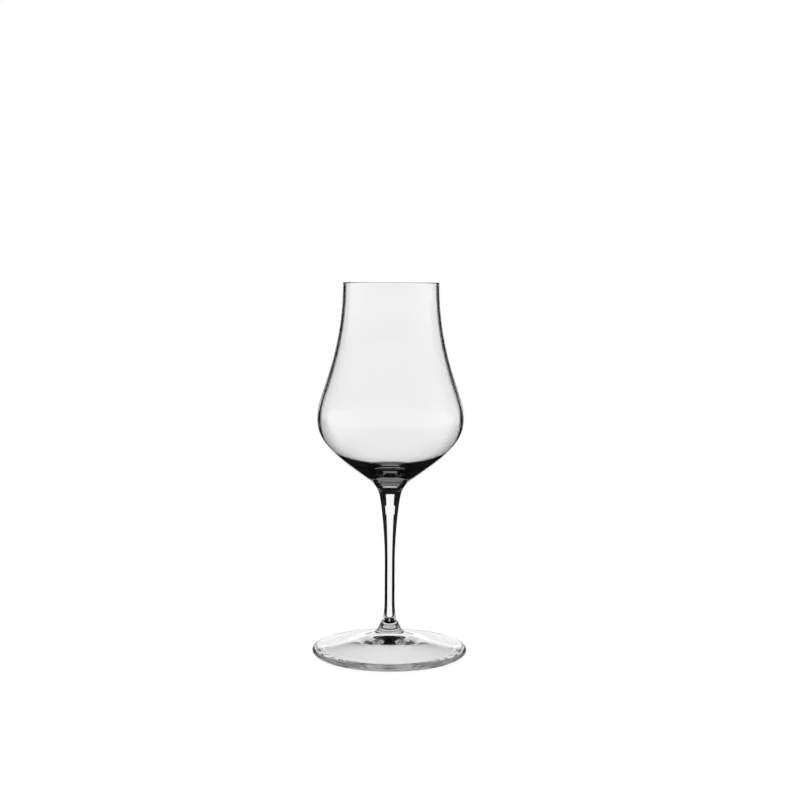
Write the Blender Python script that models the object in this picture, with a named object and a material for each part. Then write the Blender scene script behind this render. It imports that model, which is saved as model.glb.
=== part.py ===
"""Stemmed snifter glass: a blown bowl, a drawn stem and a pressed foot, joined end to end.

Lengths are metres and +Z is up. The origin is the middle of the ring that the foot stands on.
Each piece is turned about its own axis from an outline of (radius, height) points, with its
lower face at its own origin, and is then set on the piece below it.
"""

import math

import bmesh
import bpy
from mathutils import Matrix, Vector
from mathutils.geometry import interpolate_bezier

# Whole glass
HEIGHT = 0.1650

# Foot
FOOT_RADIUS = 0.0343
FOOT_EDGE_HEIGHT = 0.0019  # the widest line of the edge above the table
FOOT_CROWN_WIDTH = 0.0014  # rounding above the widest line, measured inwards
FOOT_CROWN_HEIGHT = 0.0013
FOOT_HEEL_WIDTH = 0.0030  # rounding below the widest line, measured inwards
RESTING_RING_WIDTH = 0.0030  # flat ring that touches the table
FOOT_HOLLOW_HEIGHT = 0.0049  # rise of the concave underside
FOOT_SEAT_RISE = 0.0064  # seat of the stem above the crown of the edge
FOOT_SEAT_SLOPE = math.radians(24)  # fall of the top face beside the seat
FOOT_RIM_SLOPE = math.radians(8.8)  # fall of the top face at the edge
FOOT_HOLLOW_SLOPE = math.radians(13)  # rise of the underside at the resting ring

# Stem
BUTTON_RADIUS = 0.0064  # spread end of the stem on the foot
BUTTON_EDGE_HEIGHT = 0.0006
BUTTON_ROUNDING = 0.0003
CONE_HEIGHT = 0.0048  # from the button's edge up to the collar
CONE_END_SLOPE = math.radians(34)  # fall of the cone where it reaches the button
COLLAR_RADIUS = 0.0030  # sharp turn of the outline between the cone and the flare
COLLAR_SLOPE = math.radians(51)  # fall of the cone where it leaves the collar
FLARE_LENGTH = 0.0100  # from the collar up to the straight rod
FLARE_END_SLOPE = math.radians(81)  # fall of the flare where it reaches the collar
ROD_RADIUS = 0.00223
TAPER_LENGTH = 0.0308  # from the straight rod up to the bowl
JOINT_RADIUS = 0.00475  # stem and bowl where they meet
JOINT_LEAN = math.radians(15)  # lean of both outlines at that joint, from upright

# Bowl
BASE_RISE = 0.0072  # from the joint up to the knee below the bowl
KNEE_RADIUS = 0.0102
KNEE_SLOPE = math.radians(35.2)  # rise of the outline at the knee, from level
BELLY_RISE = 0.0270  # from the knee up to the widest line
BELLY_RADIUS = 0.0326
NECK_RISE = 0.0595  # from the widest line up to the rim
RIM_RADIUS = 0.02127
RIM_WALL = 0.0011
BELLY_WALL = 0.0015
BASE_THICKNESS = 0.0109  # solid glass from the joint up to the floor of the bowl

# Clearance at each joint between two pieces
JOINT_CLEARANCE = 0.0003

# Heights of the pieces: the straight rod of the stem takes up what is left of the whole
CROWN_TOP = FOOT_EDGE_HEIGHT + FOOT_CROWN_HEIGHT
FOOT_HEIGHT = CROWN_TOP + FOOT_SEAT_RISE
BELLY_HEIGHT = BASE_RISE + BELLY_RISE
BOWL_HEIGHT = BELLY_HEIGHT + NECK_RISE
STEM_HEIGHT = HEIGHT - FOOT_HEIGHT - BOWL_HEIGHT - 2 * JOINT_CLEARANCE

# Pulls of the outline curves, each a share of that curve's own chord
ROUND_PULL = 0.39  # a quarter round
FOOT_TOP_PULLS = (0.26, 0.345)
HOLLOW_PULLS = (0.27, 0.27)
CONE_PULLS = (0.53, 0.40)
FLARE_PULLS = (0.40, 0.40)
TAPER_PULLS = (0.065, 0.49)
BASE_PULLS = (0.105, 0.57)
UNDER_BELLY_PULLS = (0.286, 0.518)
NECK_PULLS = (0.537, 0.161)
CAVITY_PULLS = (0.37, 0.42)

# Facets
SIDES = 48
ROUND_STEPS = 4
SHORT_STEPS = 6
LONG_STEPS = 10
SHARP_ANGLE = math.radians(40)
SAME_POINT = 1e-6  # points nearer than this are one point

# Clear crystal glass
GLASS_COLOUR = (0.96, 0.965, 0.965, 1.0)
GLASS_ROUGHNESS = 0.02
GLASS_METALLIC = 0.0
GLASS_IOR = 1.52

DOWN = Vector((0, -1))
IN = Vector((-1, 0))


def falling(angle):
    """Direction outwards and down, at an angle below level."""
    return Vector((math.cos(angle), -math.sin(angle)))


def leaning(angle):
    """Direction upwards and out, at an angle from upright."""
    return Vector((math.sin(angle), math.cos(angle)))


def bend(start, leave, end, arrive, pulls, steps):
    """Smooth curve that leaves the start in one direction and arrives at the end in another."""
    start = Vector(start)
    end = Vector(end)
    chord = (end - start).length
    first_handle = start + leave * chord * pulls[0]
    last_handle = end - arrive * chord * pulls[1]
    return interpolate_bezier(start, first_handle, last_handle, end, steps + 1)


def joined(*runs):
    """One outline from several runs of points, with each shared end kept once."""
    outline = [Vector(runs[0][0])]
    for run in runs:
        for point in run:
            point = Vector(point)
            if (point - outline[-1]).length > SAME_POINT:
                outline.append(point)
    return outline


def foot_outline():
    """From the middle of the seat, over the top face and the edge, to the middle of the hollow."""
    heel_radius = FOOT_RADIUS - FOOT_HEEL_WIDTH
    ring_radius = heel_radius - RESTING_RING_WIDTH
    seat_edge = (BUTTON_RADIUS, FOOT_HEIGHT)
    crown = (FOOT_RADIUS - FOOT_CROWN_WIDTH, CROWN_TOP)
    widest = (FOOT_RADIUS, FOOT_EDGE_HEIGHT)
    heel = (heel_radius, 0)
    ring = (ring_radius, 0)
    hollow = (0, FOOT_HOLLOW_HEIGHT)
    round_pulls = (ROUND_PULL, ROUND_PULL)
    top_way = falling(FOOT_RIM_SLOPE)
    hollow_way = -falling(FOOT_HOLLOW_SLOPE)
    return joined(
        [(0, FOOT_HEIGHT)],
        bend(seat_edge, falling(FOOT_SEAT_SLOPE), crown, top_way, FOOT_TOP_PULLS, LONG_STEPS),
        bend(crown, top_way, widest, DOWN, round_pulls, ROUND_STEPS),
        bend(widest, DOWN, heel, IN, round_pulls, ROUND_STEPS),
        bend(ring, hollow_way, hollow, IN, HOLLOW_PULLS, LONG_STEPS),
    )


def stem_outline():
    """From the middle of the joint with the bowl, down the rod and the cone, to the middle of the button."""
    collar_height = BUTTON_EDGE_HEIGHT + CONE_HEIGHT
    joint = (JOINT_RADIUS, STEM_HEIGHT)
    rod_top = (ROD_RADIUS, STEM_HEIGHT - TAPER_LENGTH)
    rod_foot = (ROD_RADIUS, collar_height + FLARE_LENGTH)
    collar = (COLLAR_RADIUS, collar_height)
    cone_end = (BUTTON_RADIUS - BUTTON_ROUNDING, BUTTON_EDGE_HEIGHT)
    button_shoulder = (BUTTON_RADIUS, BUTTON_EDGE_HEIGHT - BUTTON_ROUNDING)
    cone_way = falling(CONE_END_SLOPE)
    return joined(
        [(0, STEM_HEIGHT)],
        bend(joint, -leaning(JOINT_LEAN), rod_top, DOWN, TAPER_PULLS, LONG_STEPS),
        bend(rod_foot, DOWN, collar, falling(FLARE_END_SLOPE), FLARE_PULLS, SHORT_STEPS),
        bend(collar, falling(COLLAR_SLOPE), cone_end, cone_way, CONE_PULLS, SHORT_STEPS),
        bend(cone_end, cone_way, button_shoulder, DOWN, (ROUND_PULL, ROUND_PULL), ROUND_STEPS),
        [(BUTTON_RADIUS, 0), (0, 0)],
    )


def rim_arc(outer_radius, wall, top):
    """Fire-polished rim, half a round from the inner wall over to the outer wall."""
    middle = Vector((outer_radius - wall / 2, top - wall / 2))
    arc = []
    for step in range(2 * ROUND_STEPS + 1):
        turn = math.pi * step / (2 * ROUND_STEPS)
        arc.append(middle + Vector((-math.cos(turn), math.sin(turn))) * wall / 2)
    return arc


def bowl_outline():
    """From the floor of the bowl, up the inner wall, over the rim and down the outer wall."""
    rim = rim_arc(RIM_RADIUS, RIM_WALL, BOWL_HEIGHT)
    floor = (0, BASE_THICKNESS)
    inner_belly = (BELLY_RADIUS - BELLY_WALL, BELLY_HEIGHT)
    outer_belly = (BELLY_RADIUS, BELLY_HEIGHT)
    knee = (KNEE_RADIUS, BASE_RISE)
    joint = (JOINT_RADIUS, 0)
    knee_way = Vector((-math.cos(KNEE_SLOPE), -math.sin(KNEE_SLOPE)))
    inner_neck = bend(rim[0], DOWN, inner_belly, DOWN, NECK_PULLS, LONG_STEPS)
    cavity = bend(inner_belly, DOWN, floor, IN, CAVITY_PULLS, LONG_STEPS)
    inner_wall = joined(inner_neck, cavity)
    inner_wall.reverse()
    return joined(
        inner_wall,
        rim,
        bend(rim[-1], DOWN, outer_belly, DOWN, NECK_PULLS, LONG_STEPS),
        bend(outer_belly, DOWN, knee, knee_way, UNDER_BELLY_PULLS, LONG_STEPS),
        bend(knee, knee_way, joint, -leaning(JOINT_LEAN), BASE_PULLS, SHORT_STEPS),
        [(0, 0)],
    )


def clear_glass(name):
    """Clear glass for one piece."""
    material = bpy.data.materials.new(name)
    material.use_nodes = True
    shader = material.node_tree.nodes["Principled BSDF"]
    shader.inputs["Base Color"].default_value = GLASS_COLOUR
    shader.inputs["Roughness"].default_value = GLASS_ROUGHNESS
    shader.inputs["Metallic"].default_value = GLASS_METALLIC
    shader.inputs["IOR"].default_value = GLASS_IOR
    shader.inputs["Transmission Weight"].default_value = 1.0
    return material


def turned_piece(name, outline, height, parent):
    """One closed piece turned from its outline, standing at a height on the glass's axis."""
    model = bmesh.new()
    points = [model.verts.new((radius, 0, level)) for radius, level in outline]
    edges = [model.edges.new(pair) for pair in zip(points, points[1:])]
    bmesh.ops.spin(
        model,
        geom=points + edges,
        cent=(0, 0, 0),
        axis=(0, 0, 1),
        angle=2 * math.pi,
        steps=SIDES,
        use_merge=False,
        use_duplicate=False,
    )
    bmesh.ops.remove_doubles(model, verts=model.verts, dist=SAME_POINT)
    bmesh.ops.recalc_face_normals(model, faces=model.faces)
    mesh = bpy.data.meshes.new(name)
    model.to_mesh(mesh)
    model.free()
    mesh.shade_smooth()
    mesh.set_sharp_from_angle(angle=SHARP_ANGLE)
    mesh.materials.append(clear_glass(name + "_glass"))
    piece = bpy.data.objects.new(name, mesh)
    piece.matrix_world = Matrix.Translation((0, 0, height))
    piece.parent = parent
    bpy.context.scene.collection.objects.link(piece)
    return piece


def main():
    """Stand the three pieces on each other, foot first."""
    for old in list(bpy.data.objects):
        bpy.data.objects.remove(old)
    glass = bpy.data.objects.new("snifter_glass", None)
    bpy.context.scene.collection.objects.link(glass)
    turned_piece("foot", foot_outline(), 0, glass)
    turned_piece("stem", stem_outline(), FOOT_HEIGHT + JOINT_CLEARANCE, glass)
    turned_piece("bowl", bowl_outline(), HEIGHT - BOWL_HEIGHT, glass)


main()
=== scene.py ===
"""Looks of a stemmed snifter glass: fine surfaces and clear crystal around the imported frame.

Lengths are metres, +Z is up, and the origin is the middle of the ring the foot stands on.
"""

import math

import bpy
import numpy as np
from bpy.props import FloatProperty, FloatVectorProperty, IntProperty, PointerProperty
from mathutils import Euler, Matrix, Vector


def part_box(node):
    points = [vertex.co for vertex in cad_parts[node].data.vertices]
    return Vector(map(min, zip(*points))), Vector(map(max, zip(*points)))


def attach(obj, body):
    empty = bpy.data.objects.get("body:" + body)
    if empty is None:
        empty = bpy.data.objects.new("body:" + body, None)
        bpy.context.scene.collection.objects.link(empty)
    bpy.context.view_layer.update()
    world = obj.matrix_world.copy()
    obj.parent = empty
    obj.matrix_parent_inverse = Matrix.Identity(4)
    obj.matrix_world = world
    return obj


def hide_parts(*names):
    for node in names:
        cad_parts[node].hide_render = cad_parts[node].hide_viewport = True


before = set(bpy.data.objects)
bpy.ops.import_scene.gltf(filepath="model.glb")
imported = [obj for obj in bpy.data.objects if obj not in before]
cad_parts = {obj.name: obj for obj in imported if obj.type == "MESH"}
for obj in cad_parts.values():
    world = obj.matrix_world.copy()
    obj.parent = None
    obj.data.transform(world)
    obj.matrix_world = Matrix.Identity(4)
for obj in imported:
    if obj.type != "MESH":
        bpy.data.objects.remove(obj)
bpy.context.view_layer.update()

bl_info = {
    "name": "Snifter glass",
    "version": (1, 0, 0),
    "blender": (4, 5, 0),
    "location": "3D View > Sidebar > Snifter",
    "description": "Turns the bowl, stem and foot of a clear snifter glass and sets them on a white stage",
    "category": "Object",
}

BOWL_LOW, BOWL_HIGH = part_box("bowl")
STEM_LOW, STEM_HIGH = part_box("stem")
FOOT_LOW, FOOT_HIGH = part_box("foot")
DOWN = np.array((0.0, -1.0))
UP = np.array((0.0, 1.0))
IN = np.array((-1.0, 0.0))

JOINT_HAIR = 1e-5  # air left at a fused joint, too thin to see
SAME_POINT = 1e-7  # points of an outline that are nearer than this are one
HUB_RADIUS = 0.001  # inner end of a sheet that is swept round the axis
SWEEP_STEP = math.radians(2)  # one facet of a swept sheet
EDGE_ANGLE = math.radians(20)  # facets that meet at more than this show an edge

# Light Path counts reflections in whole numbers
NONE_OR_ONE = 0.5  # limit between no reflection and one
ONCE_OR_TWICE = (1.5, 1.0)  # middle and half width of a range that holds 1 and 2

# Colour sockets of a Mix node
MIX_A = 6
MIX_B = 7
MIX_RESULT = 2

# Points along one run of an outline
LONG_RUN = 80
SHORT_RUN = 40
ROUND_RUN = 21

# How the faint waves of the hot glass are packed along each axis
BLOWN_WAVES = (1, 1, 0.6)
DRAWN_WAVES = (3, 3, 0.3)
PRESSED_WAVES = (1, 1, 1)

# Pulls of the outline curves, each a share of that curve's own chord
ROUND_PULLS = (0.39, 0.39)
FOOT_TOP_PULLS = (0.26, 0.345)
HOLLOW_PULLS = (0.27, 0.27)
CONE_PULLS = (0.53, 0.40)
FLARE_PULLS = (0.40, 0.40)
TAPER_PULLS = (0.065, 0.49)
BASE_PULLS = (0.105, 0.57)
UNDER_BELLY_PULLS = (0.286, 0.518)
NECK_PULLS = (0.537, 0.161)
CAVITY_PULLS = (0.37, 0.42)

# Walls round the stage, each as first and last azimuth and lower edge, in degrees, and card stock
WALLS = {
    "over_window": (-16, 16, 16, "black"),
    "over_window_left": (16, 24, 2, "black"),
    "left_flag": (24, 46, 0, "black"),
    "left_side": (46, 73, 0, "pale"),
    "side_opening": (73, 107, 0, "opened_pale"),
    "camera_left": (107, 208, 0, "pale"),
    "camera_opening": (208, 242, 0, "opened_pale"),
    "right_side": (242, 314, 0, "pale"),
    "right_flag": (314, 336, 0, "black"),
    "over_window_right": (336, 344, 2, "black"),
}

# Cards on the table, each as first and last azimuth, in degrees, and card stock near the glass and far out
TABLE_CARDS = {
    "left_card": (19, 28, "black", "black"),
    "left_opening_card": (28, 62, "steep_black", "low_black"),
    "left_side_card": (62, 73, "pale", "pale"),
    "side_opening_card": (73, 107, "opened_pale", "opened_pale"),
    "camera_card": (107, 208, "pale", "pale"),
    "camera_opening_card": (208, 242, "opened_pale", "opened_pale"),
    "right_card": (242, 314, "pale", "pale"),
    "right_flag_card": (314, 341, "black", "black"),
}


def length(name, description, default):
    """One size in metres, for the sidebar."""
    return FloatProperty(
        name=name, description=description, default=default, unit="LENGTH", precision=5
    )


def angle(name, description, degrees):
    """One angle, for the sidebar."""
    return FloatProperty(
        name=name, description=description, default=math.radians(degrees), subtype="ANGLE"
    )


def share(name, description, default):
    """One share of a whole, for the sidebar."""
    return FloatProperty(name=name, description=description, default=default, subtype="FACTOR")


def linear(code):
    """Linear colour of an sRGB hex code."""
    channels = np.array([int(code[at : at + 2], 16) for at in (1, 3, 5)]) / 255
    return tuple(np.where(channels <= 0.04045, channels / 12.92, ((channels + 0.055) / 1.055) ** 2.4))


def tint(name, description, code):
    """One colour, for the sidebar."""
    return FloatVectorProperty(
        name=name, description=description, default=linear(code), subtype="COLOR", size=3, min=0, max=1
    )


class SnifterBowlSizes(bpy.types.PropertyGroup):
    """Sizes of the blown bowl."""

    joint_radius: length("Joint radius", "Where the bowl meets the stem", 0.00475)
    joint_lean: angle("Joint lean", "Lean of the outline at the joint, from upright", 15)
    knee_radius: length("Knee radius", "Below the bowl, where it turns into the stem", 0.0102)
    knee_rise: length("Knee rise", "From the joint up to the knee", 0.0072)
    knee_slope: angle("Knee slope", "Rise of the outline at the knee, from level", 35.2)
    belly_rise: length("Belly rise", "From the knee up to the widest line", 0.0270)
    belly_radius: length("Belly radius", "Widest line of the bowl", BOWL_HIGH.x)
    belly_wall: length("Belly wall", "Glass at the widest line", 0.0015)
    rim_radius: length("Rim radius", "Outside of the rim", 0.02127)
    rim_wall: length("Rim wall", "Glass at the rim", 0.0011)
    base_thickness: length("Base thickness", "Solid glass from the joint up to the floor", 0.0109)


class SnifterStemSizes(bpy.types.PropertyGroup):
    """Sizes of the drawn stem."""

    button_radius: length("Button radius", "Spread end of the stem on the foot", STEM_HIGH.x)
    button_edge: length("Button edge", "Height of the button's edge", 0.0006)
    button_rounding: length("Button rounding", "Round of the button's upper edge", 0.0003)
    cone_height: length("Cone height", "From the button's edge up to the collar", 0.0048)
    cone_slope: angle("Cone slope", "Fall of the cone where it reaches the button", 34)
    collar_radius: length("Collar radius", "Where the flare meets the cone", 0.0030)
    collar_slope: angle("Collar slope", "Fall of the cone where it leaves the collar", 51)
    flare_length: length("Flare length", "From the collar up to the straight rod", 0.0100)
    flare_slope: angle("Flare slope", "Fall of the flare where it reaches the collar", 81)
    rod_radius: length("Rod radius", "Thinnest part of the stem", 0.00223)
    rod_length: length("Rod length", "Straight part of the stem", 0.0149)


class SnifterFootSizes(bpy.types.PropertyGroup):
    """Sizes of the pressed foot."""

    radius: length("Foot radius", "Widest line of the foot", FOOT_HIGH.x)
    edge_height: length("Edge height", "Widest line above the table", 0.0019)
    crown_width: length("Crown width", "Rounding above the widest line, inwards", 0.0014)
    crown_height: length("Crown height", "Rounding above the widest line, upwards", 0.0013)
    heel_width: length("Heel width", "Rounding below the widest line, inwards", 0.0030)
    ring_width: length("Ring width", "Flat ring that touches the table", 0.0030)
    hollow_height: length("Hollow height", "Rise of the concave underside", 0.0049)
    seat_slope: angle("Seat slope", "Fall of the top face beside the stem", 24)
    rim_slope: angle("Rim slope", "Fall of the top face at the edge", 8.8)
    hollow_slope: angle("Hollow slope", "Rise of the underside at the resting ring", 13)


class SnifterGlassLook(bpy.types.PropertyGroup):
    """Looks of the clear crystal."""

    colour: tint("Colour", "What the clear glass lets through", "#FEFEFE")
    # Painted shade: the next three settings draw the base and the stem in a darker tone where light was
    # reflected inside them, fading out over a rise above the thick part.
    base_painted_shade: tint("Base depth", "Tone of light turned back inside the thick base", "#383838")
    shade_fade: length("Thick fade", "Rise in which the thick base thins to a wall", 0.004)
    stem_painted_shade: tint("Stem depth", "Tone of light turned back inside the stem", "#808080")
    shadow: tint("Shadow", "What the glass lets through to the table", "#FBFCFC")
    ior: FloatProperty(name="IOR", description="How far the glass bends light", default=1.52)
    roughness: share("Roughness", "Fire-polished glass is almost perfectly smooth", 0.0)
    ripple_size: length("Ripple size", "Length of the faint waves left by the hot glass", 0.014)
    ripple_depth: length("Ripple depth", "Depth of those waves", 0.000004)
    sides: IntProperty(name="Sides", description="Facets round a piece", default=192, min=16)


class SnifterStageSettings(bpy.types.PropertyGroup):
    """Camera, table, light and cards round the glass."""

    camera_distance: length("Camera distance", "From the axis of the glass", 0.6447)
    camera_height: length("Camera height", "Level with the rim", BOWL_HIGH.z)
    camera_pitch: angle("Camera pitch", "Downward tilt", 4.58)
    camera_turn: angle("Camera turn", "Turn to the right, which sets the glass left of middle", 0.34)
    camera_roll: angle("Camera roll", "Lean of the picture", 0.33)
    lens: FloatProperty(name="Lens", description="Focal length in mm", default=66.06)
    sensor: FloatProperty(name="Sensor", description="Width of the sensor in mm", default=36)
    table_radius: length("Table radius", "Round table under the glass", 3.0)
    table_gap: length("Table gap", "Air under the resting ring", 0.0001)
    table_colour: tint("Table colour", "Plain pale table", "#E9E9E9")
    table_glow: share("Table glow", "What lifts the lit table to white", 0.25)
    # Painted reflection: seen in the glass, the table is drawn white at low looks and dark at steep ones, as
    # if it mirrored the white wall and the dark roof.
    reflection_paint_limit: angle("Mirror limit", "Steepest look in which the table mirrors the white wall", 42)
    reflection_paint_spread: angle("Mirror spread", "Softness of that limit", 4)
    soft_light: share("Soft light", "Even light from all round", 0.55)
    lamp_power: FloatProperty(name="Lamp power", description="Strength of the lamp overhead", default=1.3)
    lamp_spread: angle("Lamp spread", "Breadth of the soft light overhead", 90)
    lamp_back: angle("Lamp back", "Lean of the lamp to the back of the stage", 13)
    lamp_left: angle("Lamp left", "Lean of the lamp to the left of the stage", 17)
    bounces: IntProperty(name="Bounces", description="Turns of light followed in the glass", default=32)
    reflections: IntProperty(name="Reflections", description="Turns that may be reflections", default=16)
    near_look: angle("Near look", "From level, at which the left opening shows near the glass", 24)
    far_look: angle("Far look", "From level, at which the left opening shows far out", 11.5)
    card_start: length("Card start", "Where the cards on the table begin, from the axis", 0.036)
    card_far: length("Card far", "Where the cards on the table are far out, from the axis", 0.2)
    card_lift: length("Card lift", "Cards above the table", 0.0005)
    card_reach: length("Card reach", "How far out the cards stand", 2.0)
    roof_height: length("Roof height", "How high the dark roof is", 2.0)
    wall_top: angle("Wall top", "Where the walls end and the dark roof begins, from level", 40)
    tone_start: length("Tone start", "From the axis, where the tone of the cards on the table begins", 0.1)
    tone_full: length("Tone full", "From the axis, where that tone is full", 1.0)
    front_end: length("Front end", "Behind the axis, where the tone of the front wall ends", 1.0)
    black_card: tint("Black card", "Beside the window, which draws the dark edges", "#161616")
    left_wall: tint("Left wall", "Tone of the studio on the left, reflected in the glass", "#D2D2D2")
    right_wall: tint("Right wall", "Tone of the studio on the right, reflected in the glass", "#EBEBEB")
    front_wall: tint("Front wall", "Tone of the studio behind the camera", "#8C8C8C")


def falling(tilt):
    """Direction outwards and down, at an angle below level."""
    return np.array((math.cos(tilt), -math.sin(tilt)))


def leaning(tilt):
    """Direction upwards and out, at an angle from upright."""
    return np.array((math.sin(tilt), math.cos(tilt)))


def bend(start, leave, end, arrive, pulls, count):
    """Cubic curve of (radius, height) points, with t from 0 to 1: it leaves the start in one direction
    and arrives at the end in another, and each handle is a share of the chord long."""
    start = np.asarray(start, float)
    end = np.asarray(end, float)
    chord = np.linalg.norm(end - start)
    first = start + leave * chord * pulls[0]
    last = end - arrive * chord * pulls[1]
    t = np.linspace(0, 1, count)[:, None]
    s = 1 - t
    return s**3 * start + 3 * s**2 * t * first + 3 * s * t**2 * last + t**3 * end


def chained(*runs):
    """One outline from runs of points, with points that repeat the one before left out."""
    points = np.vstack([np.atleast_2d(run) for run in runs])
    steps = np.linalg.norm(np.diff(points, axis=0), axis=1)
    return points[np.concatenate(([True], steps > SAME_POINT))]


def turned(name, outline, sides, fused_first=False, fused_last=False):
    """Surface of revolution from an outline that starts and ends on the axis: with radius r(u) and height
    z(u), x is r cos v, y is r sin v, and v goes once round. Faces point out of the glass when the outline
    runs down the outer side. A flat end that is fused to a neighbour takes the second material."""
    v = np.linspace(0, 2 * np.pi, sides, endpoint=False)
    radius, height = outline[1:-1].T[:, :, None]
    rings = np.stack([radius * np.cos(v), radius * np.sin(v), height + 0 * v], axis=-1)
    poles = np.array([(0, 0, outline[0][1]), (0, 0, outline[-1][1])])
    ids = 2 + np.arange(rings[..., 0].size).reshape(rings.shape[:2])
    after = np.roll(ids, -1, axis=1)
    first_fan = np.stack([np.zeros(sides, int), ids[0], after[0]], axis=-1)
    last_fan = np.stack([np.ones(sides, int), after[-1], ids[-1]], axis=-1)
    walls = np.stack([ids[:-1], ids[1:], after[1:], after[:-1]], axis=-1).reshape(-1, 4)
    mesh = bpy.data.meshes.new(name)
    points = np.concatenate([poles, rings.reshape(-1, 3)])
    mesh.from_pydata(points.tolist(), [], first_fan.tolist() + last_fan.tolist() + walls.tolist())
    fused = np.zeros(len(mesh.polygons), np.int32)
    fused[:sides] = fused_first
    fused[sides : 2 * sides] = fused_last
    mesh.polygons.foreach_set("material_index", fused)
    mesh.shade_smooth()
    mesh.set_sharp_from_angle(angle=EDGE_ANGLE)
    mesh.update()
    piece = bpy.data.objects.new(name, mesh)
    bpy.context.scene.collection.objects.link(piece)
    return piece


def add_node(tree, kind, inputs, **settings):
    """One shader node with its settings; an input that is a socket is linked, any other is a value."""
    node = tree.nodes.new(kind)
    for setting, value in settings.items():
        setattr(node, setting, value)
    for socket, value in inputs.items():
        if isinstance(value, bpy.types.NodeSocket):
            tree.links.new(value, node.inputs[socket])
        else:
            node.inputs[socket].default_value = value
    return node


def new_material(name):
    """A material whose node tree is empty."""
    material = bpy.data.materials.new(name)
    material.use_nodes = True
    material.node_tree.nodes.clear()
    return material


def painted_shade_socket(tree, look, shade_tone, shade_top):
    """Colour socket of painted shade in thick glass: below a height, light that was reflected inside the
    glass is drawn in a darker tone, which fades out over a rise above that height."""
    ray = add_node(tree, "ShaderNodeLightPath", {})
    turned_back = add_node(
        tree, "ShaderNodeMath", {0: ray.outputs["Glossy Depth"], 1: NONE_OR_ONE}, operation="GREATER_THAN"
    )
    place = add_node(tree, "ShaderNodeTexCoord", {})
    axes = add_node(tree, "ShaderNodeSeparateXYZ", {"Vector": place.outputs["Object"]})
    thick = add_node(
        tree,
        "ShaderNodeMapRange",
        {
            "Value": axes.outputs["Z"],
            "From Min": shade_top + look.shade_fade,
            "From Max": shade_top,
            "To Max": turned_back.outputs["Value"],
        },
    )
    tone = add_node(
        tree,
        "ShaderNodeMix",
        {"Factor": thick.outputs["Result"], MIX_A: (*look.colour, 1), MIX_B: (*shade_tone, 1)},
        data_type="RGBA",
    )
    return tone.outputs[MIX_RESULT]


def clear_crystal(name, look, packing, shade_tone=None, shade_top=None):
    """Fire-polished crystal glass, clear and colourless: the eye sees what is behind it, bent, with dark
    lines where the wall turns edge on. The hot glass leaves faint waves, packed closer along some axes. A
    thick piece gets painted shade: below the height where it is thick, light reflected inside it is drawn
    darker."""
    material = new_material(name)
    tree = material.node_tree
    place = add_node(tree, "ShaderNodeTexCoord", {})
    packed = add_node(tree, "ShaderNodeMapping", {"Vector": place.outputs["Object"], "Scale": packing})
    waves = add_node(
        tree,
        "ShaderNodeTexNoise",
        {"Vector": packed.outputs["Vector"], "Scale": 1 / look.ripple_size, "Detail": 1.0},
    )
    relief = add_node(
        tree, "ShaderNodeBump", {"Height": waves.outputs["Fac"], "Distance": look.ripple_depth}
    )
    tone = (*look.colour, 1)
    if shade_tone is not None:
        tone = painted_shade_socket(tree, look, shade_tone, shade_top)
    glass = add_node(
        tree,
        "ShaderNodeBsdfPrincipled",
        {
            "Base Color": tone,
            "Roughness": look.roughness,
            "IOR": look.ior,
            "Transmission Weight": 1.0,
            "Normal": relief.outputs["Normal"],
        },
    )
    lit_through = add_node(tree, "ShaderNodeBsdfTransparent", {"Color": (*look.shadow, 1)})
    ray = add_node(tree, "ShaderNodeLightPath", {})
    lights_table = add_node(
        tree,
        "ShaderNodeMath",
        {0: ray.outputs["Is Shadow Ray"], 1: ray.outputs["Is Diffuse Ray"]},
        operation="MAXIMUM",
    )
    shown = add_node(
        tree,
        "ShaderNodeMixShader",
        {"Fac": lights_table.outputs["Value"], 1: glass.outputs["BSDF"], 2: lit_through.outputs["BSDF"]},
    )
    add_node(tree, "ShaderNodeOutputMaterial", {"Surface": shown.outputs["Shader"]})
    return material


def fused_glass():
    """Glass fused to glass: nothing shows where two pieces were joined hot."""
    material = new_material("fused_crystal_joint")
    clear = add_node(material.node_tree, "ShaderNodeBsdfPrincipled", {"Alpha": 0.0})
    add_node(material.node_tree, "ShaderNodeOutputMaterial", {"Surface": clear.outputs["BSDF"]})
    return material


def finish_piece(piece, node, material):
    """Crystal on the outside, fused glass at the joints, in place of its solid on the one body."""
    piece.data.materials.append(material)
    piece.data.materials.append(bpy.data.materials.get("fused_crystal_joint") or fused_glass())
    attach(piece, "root")
    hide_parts(node)


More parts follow.
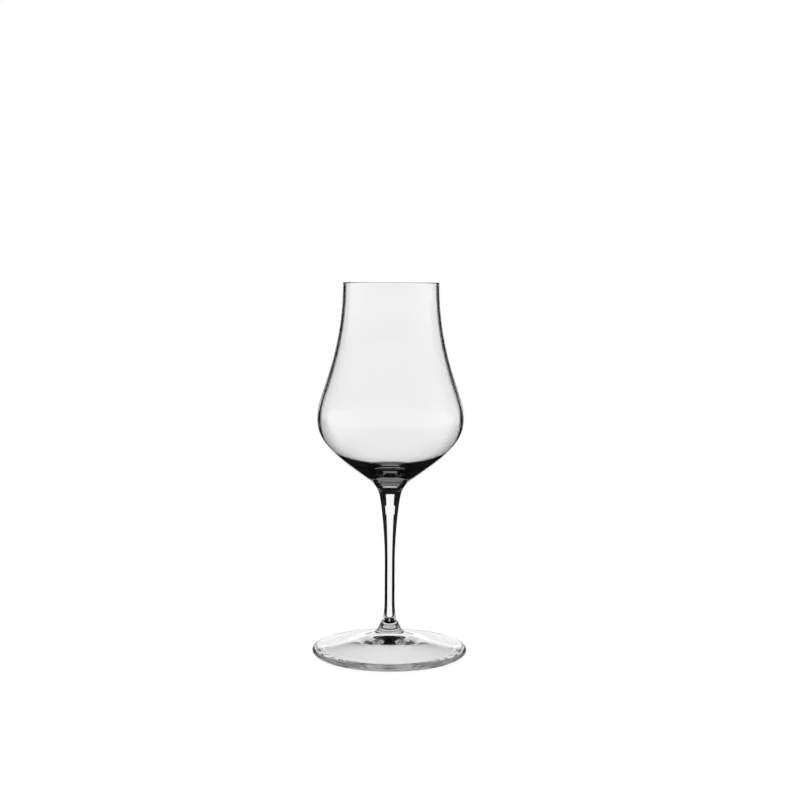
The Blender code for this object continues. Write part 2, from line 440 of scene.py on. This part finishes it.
class SnifterBlowBowl(bpy.types.Operator):
    """Blow the tulip-shaped bowl with its solid base"""

    bl_idname = "snifter.blow_bowl"
    bl_label = "Bowl"

    def execute(self, context):
        size = context.scene.snifter_bowl
        look = context.scene.snifter_glass
        joint = np.array((size.joint_radius, BOWL_LOW.z))
        knee = np.array((size.knee_radius, BOWL_LOW.z + size.knee_rise))
        belly = np.array((size.belly_radius, knee[1] + size.belly_rise))
        inner_belly = belly + IN * size.belly_wall
        floor = np.array((0, BOWL_LOW.z + size.base_thickness))
        half_wall = size.rim_wall / 2
        turn = np.linspace(0, np.pi, ROUND_RUN)[:, None]
        rim_middle = np.array((size.rim_radius - half_wall, BOWL_HIGH.z - half_wall))
        rim = rim_middle + half_wall * np.hstack([-np.cos(turn), np.sin(turn)])
        knee_way = -np.array((math.cos(size.knee_slope), math.sin(size.knee_slope)))
        outline = chained(
            bend(floor, -IN, inner_belly, UP, CAVITY_PULLS[::-1], LONG_RUN),
            bend(inner_belly, UP, rim[0], UP, NECK_PULLS[::-1], LONG_RUN),
            rim,
            bend(rim[-1], DOWN, belly, DOWN, NECK_PULLS, LONG_RUN),
            bend(belly, DOWN, knee, knee_way, UNDER_BELLY_PULLS, LONG_RUN),
            bend(knee, knee_way, joint, -leaning(size.joint_lean), BASE_PULLS, SHORT_RUN),
            (0, joint[1]),
        )
        bowl = turned("blown_bowl", outline, look.sides, fused_last=True)
        # The solid base below the bowl's floor gets painted shade in reflected light.
        crystal = clear_crystal("blown_crystal", look, BLOWN_WAVES, look.base_painted_shade, floor[1])
        finish_piece(bowl, "bowl", crystal)
        return {"FINISHED"}


class SnifterDrawStem(bpy.types.Operator):
    """Draw the solid stem, flared to the bowl and spread on the foot"""

    bl_idname = "snifter.draw_stem"
    bl_label = "Stem"

    def execute(self, context):
        size = context.scene.snifter_stem
        bowl = context.scene.snifter_bowl
        look = context.scene.snifter_glass
        top = BOWL_LOW.z - JOINT_HAIR
        bottom = FOOT_HIGH.z + JOINT_HAIR
        joint = np.array((bowl.joint_radius, top))
        cone_end = np.array((size.button_radius - size.button_rounding, STEM_LOW.z + size.button_edge))
        shoulder = np.array((size.button_radius, cone_end[1] - size.button_rounding))
        collar = np.array((size.collar_radius, cone_end[1] + size.cone_height))
        rod_foot = np.array((size.rod_radius, collar[1] + size.flare_length))
        rod_top = rod_foot + UP * size.rod_length
        cone_way = falling(size.cone_slope)
        outline = chained(
            (0, top),
            bend(joint, -leaning(bowl.joint_lean), rod_top, DOWN, TAPER_PULLS, LONG_RUN),
            bend(rod_foot, DOWN, collar, falling(size.flare_slope), FLARE_PULLS, SHORT_RUN),
            bend(collar, falling(size.collar_slope), cone_end, cone_way, CONE_PULLS, SHORT_RUN),
            bend(cone_end, cone_way, shoulder, DOWN, ROUND_PULLS, ROUND_RUN),
            (size.button_radius, bottom),
            (0, bottom),
        )
        stem = turned("drawn_stem", outline, look.sides, fused_first=True, fused_last=True)
        # The whole stem gets painted shade in reflected light.
        crystal = clear_crystal("drawn_crystal", look, DRAWN_WAVES, look.stem_painted_shade, top)
        finish_piece(stem, "stem", crystal)
        return {"FINISHED"}


class SnifterPressFoot(bpy.types.Operator):
    """Press the disc foot with its conical top and concave underside"""

    bl_idname = "snifter.press_foot"
    bl_label = "Foot"

    def execute(self, context):
        size = context.scene.snifter_foot
        stem = context.scene.snifter_stem
        look = context.scene.snifter_glass
        crown = np.array((size.radius - size.crown_width, size.edge_height + size.crown_height))
        widest = np.array((size.radius, size.edge_height))
        heel = np.array((size.radius - size.heel_width, FOOT_LOW.z))
        ring = heel + IN * size.ring_width
        seat = np.array((stem.button_radius, FOOT_HIGH.z))
        hollow = np.array((0, size.hollow_height))
        top_way = falling(size.rim_slope)
        outline = chained(
            (0, seat[1]),
            bend(seat, falling(size.seat_slope), crown, top_way, FOOT_TOP_PULLS, LONG_RUN),
            bend(crown, top_way, widest, DOWN, ROUND_PULLS, ROUND_RUN),
            bend(widest, DOWN, heel, IN, ROUND_PULLS, ROUND_RUN),
            bend(ring, -falling(size.hollow_slope), hollow, IN, HOLLOW_PULLS, LONG_RUN),
        )
        foot = turned("pressed_foot", outline, look.sides, fused_first=True)
        finish_piece(foot, "foot", clear_crystal("pressed_crystal", look, PRESSED_WAVES))
        return {"FINISHED"}


def swept(name, start, end, outline):
    """Sheet of the stage, part of a surface of revolution: x is -r sin A, y is r cos A, and (r, z) runs along
    straight lines between the outline's points. The azimuth A goes from start to end, and is counted from the
    back of the stage over its left."""
    a = np.linspace(start, end, 2 + round((end - start) / SWEEP_STEP))
    radius, height = np.asarray(outline, float).T[:, :, None]
    grid = np.stack([-radius * np.sin(a), radius * np.cos(a), height + 0 * a], axis=-1)
    ids = np.arange(grid[..., 0].size).reshape(grid.shape[:2])
    faces = np.stack([ids[:-1, :-1], ids[1:, :-1], ids[1:, 1:], ids[:-1, 1:]], axis=-1)
    mesh = bpy.data.meshes.new(name)
    mesh.from_pydata(grid.reshape(-1, 3).tolist(), [], faces.reshape(-1, 4).tolist())
    surface = bpy.data.objects.new(name, mesh)
    bpy.context.scene.collection.objects.link(surface)
    return surface


def looked_at(tree):
    """Two sockets: the first is 1 for what the camera, a reflection or clear glass shows, and the second is 1
    for what a reflection or clear glass shows."""
    ray = add_node(tree, "ShaderNodeLightPath", {})
    in_glass = add_node(
        tree,
        "ShaderNodeMath",
        {0: ray.outputs["Is Glossy Ray"], 1: ray.outputs["Is Transmission Ray"]},
        operation="MAXIMUM",
    )
    shown = add_node(
        tree,
        "ShaderNodeMath",
        {0: ray.outputs["Is Camera Ray"], 1: in_glass.outputs["Value"]},
        operation="MAXIMUM",
    )
    return shown.outputs["Value"], in_glass.outputs["Value"]


def table_top(stage):
    """White acrylic: even and pale, lifted to white where it is looked at. In the glass its colour is a
    painted reflection: white at a low look, as if it mirrored the white wall, and dark at a steep one, as if
    it mirrored the dark roof."""
    material = new_material("white_acrylic_painted_reflection")
    tree = material.node_tree
    shown, in_glass = looked_at(tree)
    graze = add_node(tree, "ShaderNodeLayerWeight", {})
    reflection_paint = add_node(
        tree,
        "ShaderNodeMapRange",
        {
            "Value": graze.outputs["Facing"],
            "From Min": 1 - math.sin(stage.reflection_paint_limit + stage.reflection_paint_spread),
            "From Max": 1 - math.sin(stage.reflection_paint_limit - stage.reflection_paint_spread),
        },
    )
    # Painted reflection: in the glass the table's colour and glow are dimmed at steep looks.
    level = add_node(
        tree, "ShaderNodeMapRange", {"Value": in_glass, "To Min": 1.0, "To Max": reflection_paint.outputs["Result"]}
    )
    colour = add_node(
        tree,
        "ShaderNodeVectorMath",
        {0: stage.table_colour, "Scale": level.outputs["Result"]},
        operation="SCALE",
    )
    sheet = add_node(tree, "ShaderNodeBsdfDiffuse", {"Color": colour.outputs["Vector"]})
    lift = add_node(tree, "ShaderNodeMath", {0: shown, 1: stage.table_glow}, operation="MULTIPLY")
    dimmed = add_node(
        tree, "ShaderNodeMath", {0: lift.outputs["Value"], 1: level.outputs["Result"]}, operation="MULTIPLY"
    )
    glow = add_node(tree, "ShaderNodeEmission", {"Strength": dimmed.outputs["Value"]})
    both = add_node(tree, "ShaderNodeAddShader", {0: sheet.outputs["BSDF"], 1: glow.outputs["Emission"]})
    add_node(tree, "ShaderNodeOutputMaterial", {"Surface": both.outputs["Shader"]})
    return material


def card_tone(tree, stage):
    """Colour socket of pale card: reflected once or twice in the glass it has a soft tone, which changes from
    the left of the stage to its right and towards the camera, and fades on the table towards the glass. In a
    straight look through the glass, or turned back more often, it is black."""
    place = add_node(tree, "ShaderNodeTexCoord", {})
    axes = add_node(tree, "ShaderNodeSeparateXYZ", {"Vector": place.outputs["Object"]})
    reach = stage.card_reach
    across = add_node(
        tree, "ShaderNodeMapRange", {"Value": axes.outputs["X"], "From Min": -reach, "From Max": reach}
    )
    along = add_node(
        tree,
        "ShaderNodeMapRange",
        {"Value": axes.outputs["Y"], "From Min": -reach, "From Max": stage.front_end},
        interpolation_type="SMOOTHSTEP",
    )
    out = add_node(tree, "ShaderNodeVectorMath", {0: place.outputs["Object"]}, operation="LENGTH")
    afar = add_node(
        tree,
        "ShaderNodeMapRange",
        {"Value": out.outputs["Value"], "From Min": stage.tone_start, "From Max": stage.tone_full},
        interpolation_type="SMOOTHSTEP",
    )
    ray = add_node(tree, "ShaderNodeLightPath", {})
    middle, half_width = ONCE_OR_TWICE
    once_or_twice = add_node(
        tree,
        "ShaderNodeMath",
        {0: ray.outputs["Glossy Depth"], 1: middle, 2: half_width},
        operation="COMPARE",
    )
    tone = (*stage.right_wall, 1)
    for factor, other in (
        (across.outputs["Result"], stage.left_wall),
        (along.outputs["Result"], stage.front_wall),
        (afar.outputs["Result"], stage.black_card),
        (once_or_twice.outputs["Value"], stage.black_card),
    ):
        blend = add_node(
            tree, "ShaderNodeMix", {"Factor": factor, MIX_A: (*other, 1), MIX_B: tone}, data_type="RGBA"
        )
        tone = blend.outputs[MIX_RESULT]
    return tone


def card_stock(name, stage, toned=False, opened=None):
    """Plain matt card, pale when toned and else black. Card that is opened isn't there in a straight look
    through the glass that meets it at a steeper angle than it is opened at."""
    material = new_material(name)
    tree = material.node_tree
    tone = card_tone(tree, stage) if toned else (*stage.black_card, 1)
    shown = add_node(tree, "ShaderNodeEmission", {"Color": tone}).outputs["Emission"]
    if opened is not None:
        ray = add_node(tree, "ShaderNodeLightPath", {})
        straight = add_node(
            tree, "ShaderNodeMath", {0: ray.outputs["Glossy Depth"], 1: NONE_OR_ONE}, operation="LESS_THAN"
        )
        graze = add_node(tree, "ShaderNodeLayerWeight", {})
        steep = add_node(
            tree,
            "ShaderNodeMath",
            {0: graze.outputs["Facing"], 1: 1 - math.sin(opened)},
            operation="LESS_THAN",
        )
        gone = add_node(
            tree,
            "ShaderNodeMath",
            {0: straight.outputs["Value"], 1: steep.outputs["Value"]},
            operation="MULTIPLY",
        )
        opening = add_node(tree, "ShaderNodeBsdfTransparent", {})
        through = add_node(
            tree, "ShaderNodeMixShader", {"Fac": gone.outputs["Value"], 1: shown, 2: opening.outputs["BSDF"]}
        )
        shown = through.outputs["Shader"]
    add_node(tree, "ShaderNodeOutputMaterial", {"Surface": shown})
    return material


def stand_cards(stage):
    """Cards round the glass, with one white window behind it. Black flags beside the window draw the dark
    edges of the glass, and pale walls elsewhere brighten it. Other windows open the cards to a straight look
    through the glass from other sides."""
    stock = {
        "black": card_stock("black_card", stage),
        "steep_black": card_stock("steep_black_card", stage, opened=stage.near_look),
        "low_black": card_stock("low_black_card", stage, opened=stage.far_look),
        "pale": card_stock("pale_card", stage, toned=True),
        "opened_pale": card_stock("opened_pale_card", stage, toned=True, opened=0),
    }
    reach, lift, height = stage.card_reach, stage.card_lift, stage.roof_height
    top = reach * math.tan(stage.wall_top)
    runs = [("roof", 0, 360, "black", ((reach, top), (reach, height), (HUB_RADIUS, height)))]
    for name, (start, stop, edge, kind) in WALLS.items():
        bottom = lift + reach * math.tan(math.radians(edge))
        runs.append((name, start, stop, kind, ((reach, bottom), (reach, top))))
    near_card = ((stage.card_start, lift), (stage.card_far, lift))
    far_card = ((stage.card_far, lift), (reach, lift))
    for name, (start, stop, near, far) in TABLE_CARDS.items():
        runs.append((name + "_near", start, stop, near, near_card))
        runs.append((name + "_far", start, stop, far, far_card))
    for name, start, stop, kind, outline in runs:
        card = swept(name, math.radians(start), math.radians(stop), outline)
        card.data.materials.append(stock[kind])
        card.visible_camera = False
        card.visible_diffuse = False
        card.visible_shadow = False


def lay_table(stage):
    """Round white table, a hair below the resting ring."""
    line = ((HUB_RADIUS, -stage.table_gap), (stage.table_radius, -stage.table_gap))
    table = swept("table", 0, 2 * math.pi, line)
    table.data.materials.append(table_top(stage))


def white_studio(stage):
    """World that is white where it is looked at, and lights the table softly from all round."""
    world = bpy.data.worlds.new("white_studio")
    world.use_nodes = True
    tree = world.node_tree
    tree.nodes.clear()
    shown, _ = looked_at(tree)
    level = add_node(
        tree, "ShaderNodeMapRange", {"Value": shown, "To Min": stage.soft_light, "To Max": 1.0}
    )
    white = add_node(
        tree, "ShaderNodeBackground", {"Color": (1, 1, 1, 1), "Strength": level.outputs["Result"]}
    )
    add_node(tree, "ShaderNodeOutputWorld", {"Surface": white.outputs["Background"]})
    return world


def soft_lamp(stage):
    """Broad lamp overhead, a little behind the glass and to its left. The glass doesn't show it."""
    lamp = bpy.data.lights.new("soft_lamp", "SUN")
    lamp.angle = stage.lamp_spread
    lamp.energy = stage.lamp_power
    hung = bpy.data.objects.new("soft_lamp", lamp)
    hung.rotation_euler = Euler((-stage.lamp_back, -stage.lamp_left, 0))
    hung.visible_glossy = False
    hung.visible_transmission = False
    return hung


def level_camera(stage):
    """Camera at the height of the rim, tilted down a little."""
    camera = bpy.data.cameras.new("camera")
    camera.sensor_width = stage.sensor
    camera.lens = stage.lens
    stood = bpy.data.objects.new("camera", camera)
    stood.location = (0, -stage.camera_distance, stage.camera_height)
    tilt = math.pi / 2 - stage.camera_pitch
    stood.rotation_euler = Euler((tilt, -stage.camera_roll, -stage.camera_turn))
    return stood


class SnifterSetStage(bpy.types.Operator):
    """Set the white table, the cards, the soft light and the camera"""

    bl_idname = "snifter.set_stage"
    bl_label = "Stage"

    def execute(self, context):
        scene = context.scene
        stage = scene.snifter_stage
        lay_table(stage)
        stand_cards(stage)
        scene.world = white_studio(stage)
        scene.collection.objects.link(soft_lamp(stage))
        scene.camera = level_camera(stage)
        scene.collection.objects.link(scene.camera)
        scene.view_settings.view_transform = "Standard"
        scene.cycles.max_bounces = stage.bounces
        scene.cycles.glossy_bounces = stage.reflections
        scene.cycles.transmission_bounces = stage.bounces
        scene.cycles.transparent_max_bounces = stage.bounces
        return {"FINISHED"}


class SnifterPanel(bpy.types.Panel):
    """Pieces of the glass and its stage, in the order they are made"""

    bl_idname = "VIEW3D_PT_snifter"
    bl_label = "Snifter glass"
    bl_space_type = "VIEW_3D"
    bl_region_type = "UI"
    bl_category = "Snifter"

    def draw(self, context):
        for maker in MAKERS:
            self.layout.operator(maker.bl_idname)


SETTINGS = {
    "snifter_bowl": SnifterBowlSizes,
    "snifter_stem": SnifterStemSizes,
    "snifter_foot": SnifterFootSizes,
    "snifter_glass": SnifterGlassLook,
    "snifter_stage": SnifterStageSettings,
}
MAKERS = (SnifterPressFoot, SnifterDrawStem, SnifterBlowBowl, SnifterSetStage)


def register():
    """Add the settings, the operators and the panel."""
    for group in SETTINGS.values():
        bpy.utils.register_class(group)
    for name, group in SETTINGS.items():
        setattr(bpy.types.Scene, name, PointerProperty(type=group))
    for maker in (*MAKERS, SnifterPanel):
        bpy.utils.register_class(maker)


def unregister():
    """Take away what register added."""
    for maker in (SnifterPanel, *reversed(MAKERS)):
        bpy.utils.unregister_class(maker)
    for name in SETTINGS:
        delattr(bpy.types.Scene, name)
    for group in SETTINGS.values():
        bpy.utils.unregister_class(group)


def main():
    """Make the pieces and the stage."""
    register()
    bpy.ops.snifter.press_foot()
    bpy.ops.snifter.draw_stem()
    bpy.ops.snifter.blow_bowl()
    bpy.ops.snifter.set_stage()


if __name__ == "__main__":
    main()
